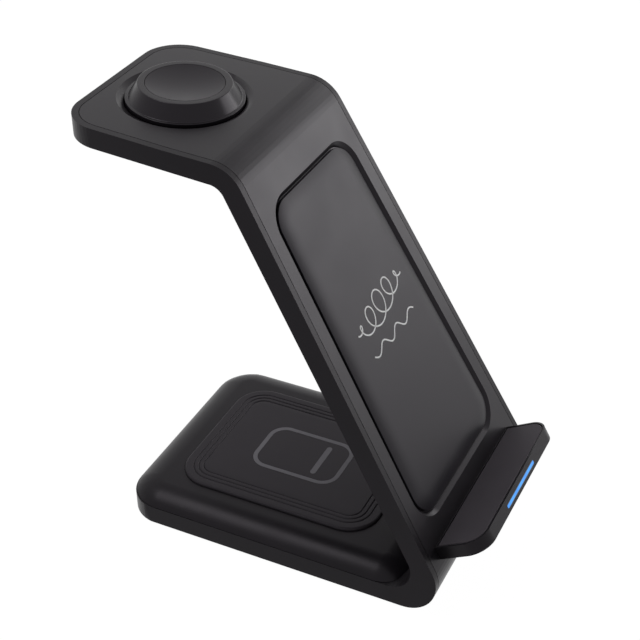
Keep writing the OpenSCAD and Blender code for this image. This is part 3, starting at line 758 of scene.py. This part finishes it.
@dataclass
class WatchPuck:
    """Cone shaped watch charger on the arm.

    Attributes:
        seat: Its place, with zero on the arm's face at its middle.
        rim_r: Outer radius of the rim.
        top_r: Radius of the cone's top.
        dish_r: Radius of the dish.
        dish_d: Depth of the dish.
        height: Height over the arm.
    """

    seat: Seat
    rim_r: float = 18.0
    top_r: float = 14.1
    dish_r: float = 12.0
    dish_d: float = 1.3
    height: float = 4.5

    def spin(self, profile: Array, steps: int = 96) -> Array:
        """Turns a profile of radius and height about the puck's axis.

        Point k of ring j is (r cos a, r sin a, h), with a going round once.

        Args:
            profile: Radii and heights, shape (rings, 2).
            steps: Points round the axis.

        Returns:
            Placed points of shape (rings, steps, 3), in metres.
        """
        angle = np.linspace(0, 2 * math.pi, steps, endpoint=False)
        r, h = profile[:, :1], profile[:, 1:]
        level = np.broadcast_to(h, (len(r), steps))
        return self.seat.place(np.stack([r * np.cos(angle), r * np.sin(angle), level], axis=-1))

    def housing_profile(self) -> Array:
        """Cone with a thin rim below, rounded shoulders and a seat for the dish.

        Returns:
            Radii and heights, shape (rings, 2).
        """
        rim, dish, top = self.rim_r, self.dish_r, self.height
        shoulder = fillet((self.top_r + 0.16, top - 0.22), (self.top_r - 0.16, top), 5)
        return np.vstack(
            [
                # skirt in the arm, then the rim, the foot of the cone and its shoulder
                [[dish - 2.5, -2.9], [rim - 0.4, -2.9], [rim, -2.5]],
                [[rim, -0.18], [rim - 0.06, -0.06], [rim - 0.18, 0.0]],
                [[rim - 0.78, 0.0], [rim - 0.92, 0.05], [rim - 1.0, 0.2]],
                shoulder,
                # lip of the dish's seat, and the seat
                [[dish + 0.2, top], [dish + 0.05, top - 0.05]],
                [[dish, top - 0.2], [dish, top - 2.3], [dish - 2.5, top - 2.3]],
            ]
        )

    def build(self) -> None:
        """Makes the housing and the dished plate.

        The dish is part of a sphere: with R the sphere's radius, a point at
        radius r lies R - sqrt(R^2 - r^2) above the dish's middle.
        """
        add_piece(
            "watch_puck_housing",
            self.spin(self.housing_profile()),
            PUCK_PLASTIC,
            ("puck_body",),
            joined_ends=True,
            sharp_deg=50,
        )
        sphere_r = (self.dish_r**2 + self.dish_d**2) / (2 * self.dish_d)
        r = np.linspace(self.dish_r - 0.3, 0.05, 22)
        top = self.height
        bowl = np.stack([r, top - self.dish_d + sphere_r - np.sqrt(sphere_r**2 - r**2)], axis=1)
        wall, low = self.dish_r - 0.08, top - self.dish_d - 1.0
        side = [[0.05, low], [wall, low], [wall, top - 0.12], [wall - 0.06, top - 0.03]]
        add_piece(
            "watch_dish_plate",
            self.spin(np.vstack([side, bowl])),
            DISH_PLASTIC,
            ("puck_dish",),
            sharp_deg=50,
        )


@dataclass
class PhonePad:
    """Silicone pad in the recess of the leaning panel.

    Attributes:
        seat: Its place, with zero on the panel's face at its lower end.
        start: Distance of the lower end up the panel.
        end: Distance of the upper end.
        low_w: Width at the lower end.
        high_w: Width at the upper end.
        corner: Corner radius.
        floor: Height of its back over the panel's face.
        proud: Height of its face over the panel's face.
        drop: How far its edge lies below its face.
        reach: How far in from the edge the crown goes.
    """

    seat: Seat
    start: float = 31.15
    end: float = 137.85
    low_w: float = 58.9
    high_w: float = 47.4
    corner: float = 8.15
    floor: float = -1.43
    proud: float = 0.15
    drop: float = 0.7
    reach: float = 6.5

    def corners(self) -> Array:
        """Lays out the pad's outline.

        Returns:
            Its four corner points, counter clockwise.
        """
        low, high = self.low_w / 2, self.high_w / 2
        return np.array(
            [[-low, self.start], [low, self.start], [high, self.end], [-high, self.end]]
        )

    def build(self) -> None:
        """Makes the pad: an upright wall and a face that is crowned near its edge.

        With q from 0 at the edge to 1 at the reach, the face lies below its
        middle by the drop times (1 - q) to the power 2.4.
        """
        share = np.linspace(0, 1, 18) ** 2
        crown = self.proud - self.drop * (1 - share) ** 2.4
        round_edge = np.stack([0.12 + share * (self.reach - 0.12), crown], axis=1)
        wall_top = self.proud - self.drop - 0.1
        wall = [[0.15, self.floor], [0.0, self.floor + 0.15], [0.0, wall_top]]
        profile = np.vstack([wall, round_edge, [[8.0, self.proud]]])
        flat = outline(self.corners(), self.corner, profile[:, 0])
        add_piece(
            "phone_rest_pad",
            self.seat.place(lift_rings(flat, profile[:, 1])),
            PAD_SILICONE,
            ("phone_pad",),
            sharp_deg=60,
        )


@dataclass
class PadDrawing:
    """Thin white line drawing of loops and waves on the phone pad.

    Attributes:
        seat: The panel's place.
        middle: Its middle across and up the panel.
        half_w: Half its width.
        stroke: Width of the line.
        lift: Height of the ink over the panel's face.
        sunk: Height of the ink's underside.
        loop_r: Radius of the loops at the middle.
        loop_up: How far the loops lie above the drawing's middle.
        sway: How far the loops climb from one end to the other.
        wave_share: Width of the wave as a share of the loops' width.
        wave_down: How far the wave lies below the drawing's middle.
        wave_h: Height of the wave.
    """

    seat: Seat
    middle: tuple[float, float] = (0.8, 90.5)
    half_w: float = 17.2
    stroke: float = 0.5
    lift: float = 0.185
    sunk: float = 0.1
    loop_r: float = 4.6
    loop_up: float = 1.2
    sway: float = 1.6
    wave_share: float = 0.86
    wave_down: float = 9.2
    wave_h: float = 1.5

    def ribbon(self, name: str, path: Array) -> None:
        """Carries a flat stroke along an open path.

        At each point the stroke reaches half its width to either side of the
        path's tangent, with a low and a high edge that close the section.

        Args:
            name: The piece's name.
            path: Points across and up the panel, shape (points, 2).
        """
        ahead = np.gradient(path, axis=0)
        ahead /= np.linalg.norm(ahead, axis=1, keepdims=True)
        side = np.stack([-ahead[:, 1], ahead[:, 0]], axis=1) * self.stroke / 2
        left, right = path + side, path - side
        low, high = np.full(len(path), self.sunk), np.full(len(path), self.lift)
        section = [(left, low), (left, high), (right, high), (right, low)]
        rings = np.stack([np.column_stack(edge) for edge in section], axis=1)
        add_piece(name, self.seat.place(rings), WHITE_INK)

    def build(self) -> None:
        """Makes a looping line with a calm wave below it.

        For t from -1 to 1 and a = 2.5 pi t, the upper line runs across with
        half_w t - loop_r f sin 2a and rises with loop_r f cos 2a + sway sin 2t,
        where f is cos(pi t / 2) to the power 0.8 and fades the loops at the
        ends. The wave rises with wave_h sin(3 pi t) (1 - 0.3 t^2).
        """
        across, up = self.middle
        t = np.linspace(-1, 1, 240)
        turn = t * math.pi * 2.5
        fade = np.cos(t * math.pi / 2) ** 0.8
        loop_x = across + self.half_w * t - self.loop_r * fade * np.sin(turn * 2)
        climb = self.sway * np.sin(t * 2)
        loop_y = up + self.loop_up + self.loop_r * fade * np.cos(turn * 2) + climb
        self.ribbon("pad_line_loops", np.stack([loop_x, loop_y], axis=1))
        t = np.linspace(-1, 1, 160)
        wave_x = across + self.half_w * self.wave_share * t
        wave_y = up - self.wave_down + self.wave_h * np.sin(t * math.pi * 3) * (1 - 0.3 * t**2)
        self.ribbon("pad_line_wave", np.stack([wave_x, wave_y], axis=1))


@dataclass
class EarbudTray:
    """Silicone pad with three fine grooves and a printed earbud case.

    Attributes:
        seat: Its place, with zero in the middle of its underside.
        width: Size across.
        length: Size along the base.
        corner: Corner radius.
        height: Thickness.
        edge: Radius of its rounded edge.
        first_groove: Distance of the first groove from the edge.
        groove_pitch: Distance between grooves.
        groove_w: Width of a groove.
        groove_d: Depth of a groove.
        sign_half: Half the printed sign's width and length.
        sign_corner: Its corner radius.
        sign_shift: How far its frame lies behind the pad's middle.
        stroke: Width of its stroke.
        ink: Height of the ink over the pad.
        bar_half: Half the bar's length and width.
        bar_corner: Radius of the bar's ends.
        bar_shift: How far the bar lies behind the pad's middle, or in front below zero.
    """

    seat: Seat
    width: float = 55.0
    length: float = 70.5
    corner: float = 11.0
    height: float = 1.5
    edge: float = 0.8
    first_groove: float = 3.05
    groove_pitch: float = 1.65
    groove_w: float = 0.7
    groove_d: float = 0.32
    sign_half: tuple[float, float] = (11.2, 15.7)
    sign_corner: float = 6.2
    sign_shift: float = 0.4
    stroke: float = 1.45
    ink: float = 0.03
    bar_half: tuple[float, float] = (7.4, 0.95)
    bar_corner: float = 0.949
    bar_shift: float = -6.3

    def profile(self) -> Array:
        """Runs from the underside over the edge and across the grooves.

        Each groove is one period of a cosine, of its width and depth.

        Returns:
            Insets and heights, shape (rings, 2).
        """
        t = np.linspace(-1, 1, 7)
        dip = -self.groove_d * (0.5 + 0.5 * np.cos(math.pi * t))
        centre = self.first_groove + self.groove_pitch * np.arange(3)
        grooves = np.stack(
            [
                (centre[:, None] + t[None, :] * self.groove_w / 2).ravel(),
                np.broadcast_to(self.height + dip[None, :], (3, 7)).ravel(),
            ],
            axis=1,
        )
        round_edge = fillet((0.0, self.height - self.edge), (self.edge, self.height), 8)
        return np.vstack([[[0.12, 0.0], [0.0, 0.12]], round_edge, grooves, [[8.5, self.height]]])

    def build(self) -> None:
        """Makes the pad and the two strokes of the printed case."""
        profile = self.profile()
        corners = rectangle(self.width / 2, self.length / 2)
        flat = outline(corners, self.corner, profile[:, 0])
        add_piece(
            "earbud_rest_pad",
            self.seat.place(lift_rings(flat, profile[:, 1])),
            TRAY_SILICONE,
            ("earbud_pad",),
            sharp_deg=60,
        )
        self.print_case()

    def print_case(self) -> None:
        """Prints the sign of an earbud case: a rounded frame and a short bar.

        The frame is the band between two outlines, and the bar a slim pill,
        both a thin film of ink on the pad.
        """
        low, high = self.height - 0.05, self.height + self.ink
        corners = rectangle(*self.sign_half, self.sign_shift)
        flat = outline(corners, self.sign_corner, np.array([0, 0, self.stroke, self.stroke]), 16)
        rings = self.seat.place(lift_rings(flat, np.array([low, high, high, low])))
        add_piece("earbud_sign_frame", rings, GREY_INK, joined_ends=True)
        flat = outline(rectangle(*self.bar_half, self.bar_shift), self.bar_corner, np.zeros(2), 8)
        rings = self.seat.place(lift_rings(flat, np.array([low, high])))
        add_piece("earbud_sign_bar", rings, GREY_INK)


@dataclass
class PhoneLedge:
    """Ledge that carries the phone, with its inlay and light strip.

    Attributes:
        tray_edge_mm: Rounding of the tray's edges.
        inlay_edge_mm: Rounding of the inlay's edges.
    """

    tray_edge_mm: float = 0.35
    inlay_edge_mm: float = 0.3

    def build(self) -> None:
        """Makes softened copies of the ledge and its inlay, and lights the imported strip."""
        soften_node("ledge_tray", "phone_ledge", SOFT_TOUCH, self.tray_edge_mm)
        soften_node(
            "ledge_inlay", "ledge_rest_inlay", INLAY_SILICONE, self.inlay_edge_mm
        )
        dress_node("light_guide", LIGHT_GUIDE)


@dataclass
class BaseShell:
    """Pillow shaped shell over the base.

    Attributes:
        edge_mm: Rounding of its edges.
    """

    edge_mm: float = 0.3

    def build(self) -> None:
        """Makes a softened copy of the shell."""
        soften_node("base_shell", "base_pillow_shell", SOFT_TOUCH, self.edge_mm)


@dataclass
class Inside:
    """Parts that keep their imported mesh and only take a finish.

    Attributes:
        finishes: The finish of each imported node.
    """

    finishes: dict[str, Finish] = field(
        default_factory=lambda: {
            "bottom_cover": PLAIN_ABS,
            "feet": FOOT_RUBBER,
            "base_screws": ZINC,
            "puck_screws": ZINC,
            "main_board": SOLDER_MASK,
            "led_board": SOLDER_MASK,
            "watch_board": SOLDER_MASK,
            "leds": LED_BODY,
            "usb_shell": NICKEL,
            "usb_tongue": PLAIN_ABS,
            "chips": EPOXY,
            "inductors": FERRITE,
            "capacitors": CERAMIC,
            "connectors": NYLON,
            "earbud_coil": COPPER,
            "earbud_ferrite": FERRITE,
            "phone_coil_lower": COPPER,
            "phone_coil_upper": COPPER,
            "phone_ferrites": FERRITE,
            "puck_floor": PLAIN_ABS,
            "watch_coil": COPPER,
            "watch_magnet": NICKEL,
            "watch_ferrite": FERRITE,
            "phone_leads": RED_FLEX,
            "watch_leads": BLACK_FLEX,
            "led_leads": BLACK_FLEX,
        }
    )

    def build(self) -> None:
        """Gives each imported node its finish."""
        for node, finish in self.finishes.items():
            dress_node(node, finish)
        LOG.info("%d packed nodes dressed", len(self.finishes))


@dataclass(frozen=True)
class Lamp:
    """One soft rectangular lamp.

    Attributes:
        name: Its name.
        place: Its position in metres.
        aim: The point that it faces, in metres.
        size: Its width and height in metres.
        watts: Its power.
    """

    name: str
    place: tuple[float, float, float]
    aim: tuple[float, float, float]
    size: tuple[float, float]
    watts: float

    def build(self) -> None:
        """Adds the lamp."""
        data = bpy.data.lights.new(self.name, "AREA")
        data.shape = "RECTANGLE"
        data.size, data.size_y = self.size
        data.energy = self.watts
        lamp = bpy.data.objects.new(self.name, data)
        bpy.context.scene.collection.objects.link(lamp)
        lamp.location = self.place
        lamp.rotation_mode = "QUATERNION"
        lamp.rotation_quaternion = (Vector(self.aim) - Vector(self.place)).to_track_quat("-Z", "Y")


LOW_MIDDLE = (0.0, -0.02, 0.10)
HIGH_MIDDLE = (0.0, 0.03, 0.13)
LAMPS = (
    Lamp("front_right_softbox", (0.42, -0.40, 0.27), LOW_MIDDLE, (0.34, 0.26), 0.95),
    Lamp("front_right_strip", (0.45, -0.42, 0.13), LOW_MIDDLE, (0.30, 0.20), 0.45),
    Lamp("right_softbox", (0.55, -0.08, 0.32), HIGH_MIDDLE, (0.25, 0.25), 0.55),
    Lamp("back_right_strip", (0.55, 0.25, 0.25), HIGH_MIDDLE, (0.40, 0.25), 0.12),
    Lamp("top_back_softbox", (-0.12, 0.24, 0.55), (0.0, 0.02, 0.02), (0.25, 0.25), 0.95),
)


@dataclass
class Studio:
    """Pale floor, soft lights and the camera at the photograph's angle.

    Attributes:
        eye: Camera position, in millimetres.
        azimuth: Its direction round the stand, in degrees.
        elevation: Its height angle, in degrees.
        roll: Its turn about the line of sight, in degrees.
        focal: Focal length for a 36 mm wide sensor.
        floor_half: Half the floor's width, in metres.
        floor_gap: How far it lies below the feet, in metres.
        floor_tint: Its own colour, which carries the shadow.
        floor_white: Share of plain white in the floor where it is seen.
        floor_glow: Strength of that white.
        fill_low: Strength of the dome's diffuse light at the horizon.
        fill_high: Its strength above fill_top.
        fill_top: Height on the unit dome where it stops fading.
    """

    eye: tuple[float, float, float] = (-334.12, -162.50, 325.99)
    azimuth: float = -63.992
    elevation: float = 34.609
    roll: float = -0.552
    focal: float = 81.08
    floor_half: float = 4.0
    floor_gap: float = 0.00005
    floor_tint: str = "#b4b4b4"
    floor_white: float = 0.9
    floor_glow: float = 1.1
    fill_low: float = 0.48
    fill_high: float = 0.03
    fill_top: float = 0.8

    def camera(self) -> None:
        """Sets the camera from its angles: back is the direction towards it."""
        a, e, r = (math.radians(v) for v in (self.azimuth, self.elevation, self.roll))
        back = Vector((math.sin(a) * math.cos(e), -math.cos(a) * math.cos(e), math.sin(e)))
        right0 = Vector((0, 0, 1)).cross(back).normalized()
        up0 = back.cross(right0)
        right = right0 * math.cos(r) + up0 * math.sin(r)
        up = back.cross(right)
        data = bpy.data.cameras.new("camera")
        data.sensor_width = 36.0
        data.lens = self.focal
        data.clip_start, data.clip_end = 0.01, 20.0
        seat = bpy.data.objects.new("camera", data)
        bpy.context.scene.collection.objects.link(seat)
        turned = Matrix((right, up, back)).transposed().to_4x4()
        seat.matrix_world = Matrix.Translation(Vector(self.eye) * MM) @ turned
        bpy.context.scene.camera = seat

    def open_view(self, tree: bpy.types.NodeTree) -> bpy.types.NodeSocket:
        """Finds the rays that see the plain background.

        Args:
            tree: The node tree that takes the nodes.

        Returns:
            A socket that is 1 for camera, mirrored and transmitted rays, else 0.
        """
        path = add_node(tree, "ShaderNodeLightPath")
        straight = add_node(
            tree,
            "ShaderNodeMath",
            {"operation": "MAXIMUM"},
            {0: path.outputs["Is Camera Ray"], 1: path.outputs["Is Transmission Ray"]},
        ).outputs["Value"]
        return add_node(
            tree,
            "ShaderNodeMath",
            {"operation": "MAXIMUM"},
            {0: straight, 1: path.outputs["Is Glossy Ray"]},
        ).outputs["Value"]

    def floor(self) -> None:
        """Adds the floor: white where it is seen or mirrored, with a faint shadow kept.

        Seen from below it is clear, so that the underside can be looked at.
        """
        mesh = bpy.data.meshes.new("studio_floor")
        corner = rectangle(self.floor_half, self.floor_half)
        points = np.column_stack([corner, np.full(4, -self.floor_gap)])
        mesh.from_pydata(points.tolist(), [], [[0, 1, 2, 3]])
        made = bpy.data.materials.new("pale_paper_floor")
        made.use_nodes = True
        tree = made.node_tree
        tree.nodes.clear()
        share = add_node(
            tree,
            "ShaderNodeMath",
            {"operation": "MULTIPLY"},
            {0: self.open_view(tree), 1: self.floor_white},
        ).outputs["Value"]
        paper = add_node(tree, "ShaderNodeBsdfDiffuse", inputs={"Color": linear(self.floor_tint)})
        glow = add_node(
            tree,
            "ShaderNodeEmission",
            inputs={"Color": linear("#ffffff"), "Strength": self.floor_glow},
        )
        mix = add_node(
            tree,
            "ShaderNodeMixShader",
            inputs={"Fac": share, 1: paper.outputs["BSDF"], 2: glow.outputs["Emission"]},
        )
        behind = add_node(tree, "ShaderNodeNewGeometry").outputs["Backfacing"]
        clear = add_node(tree, "ShaderNodeBsdfTransparent")
        whole = add_node(
            tree,
            "ShaderNodeMixShader",
            inputs={"Fac": behind, 1: mix.outputs["Shader"], 2: clear.outputs["BSDF"]},
        )
        out = add_node(tree, "ShaderNodeOutputMaterial")
        tree.links.new(whole.outputs["Shader"], out.inputs["Surface"])
        mesh.materials.append(made)
        plane = bpy.data.objects.new("studio_floor", mesh)
        bpy.context.scene.collection.objects.link(plane)

    def world(self) -> None:
        """Adds the dome: plain white where it is seen, mirrored or looked through.

        Its diffuse light is a soft fill that fades from the horizon upwards.
        """
        made = bpy.data.worlds.new("studio_dome")
        made.use_nodes = True
        tree = made.node_tree
        tree.nodes.clear()
        place = add_node(tree, "ShaderNodeTexCoord").outputs["Generated"]
        up = add_node(tree, "ShaderNodeSeparateXYZ", inputs={"Vector": place}).outputs["Z"]
        level = add_node(
            tree,
            "ShaderNodeMapRange",
            inputs={
                "Value": up,
                "From Min": 0.0,
                "From Max": self.fill_top,
                "To Min": self.fill_low,
                "To Max": self.fill_high,
            },
        ).outputs["Result"]
        paint = linear("#ffffff")
        dome = add_node(tree, "ShaderNodeBackground", inputs={"Color": paint, "Strength": level})
        white = add_node(tree, "ShaderNodeBackground", inputs={"Color": paint, "Strength": 1.0})
        mix = add_node(
            tree,
            "ShaderNodeMixShader",
            inputs={
                "Fac": self.open_view(tree),
                1: dome.outputs["Background"],
                2: white.outputs["Background"],
            },
        )
        out = add_node(tree, "ShaderNodeOutputWorld")
        tree.links.new(mix.outputs["Shader"], out.inputs["Surface"])
        bpy.context.scene.world = made

    def build(self) -> None:
        """Sets the camera, floor, dome and lamps, and the plain view transform."""
        self.camera()
        self.floor()
        self.world()
        for lamp in LAMPS:
            lamp.build()
        bpy.context.scene.view_settings.view_transform = "Standard"


def main() -> None:
    """Builds every sub-assembly in order."""
    logging.basicConfig(level=logging.INFO, format="%(name)s %(message)s")
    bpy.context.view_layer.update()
    panel = Seat(PANEL_FOOT, ACROSS, PANEL_UP, (0.0, -math.sin(LEAN), math.cos(LEAN)))
    arm = Seat(
        ARM_MIDDLE,
        ACROSS,
        (0.0, math.cos(ARM_RISE), math.sin(ARM_RISE)),
        (0.0, -math.sin(ARM_RISE), math.cos(ARM_RISE)),
    )
    low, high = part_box("earbud_pad")
    tray = Seat(
        ((low.x + high.x) / 2 / MM, (low.y + high.y) / 2 / MM, low.z / MM),
        ACROSS,
        (0.0, 1.0, 0.0),
        (0.0, 0.0, 1.0),
    )
    Studio().build()
    FoldedBody().build()
    BaseShell().build()
    EarbudTray(tray).build()
    PhonePad(panel).build()
    PadDrawing(panel).build()
    PhoneLedge().build()
    WatchPuck(arm).build()
    Inside().build()


if __name__ == "__main__":
    main()
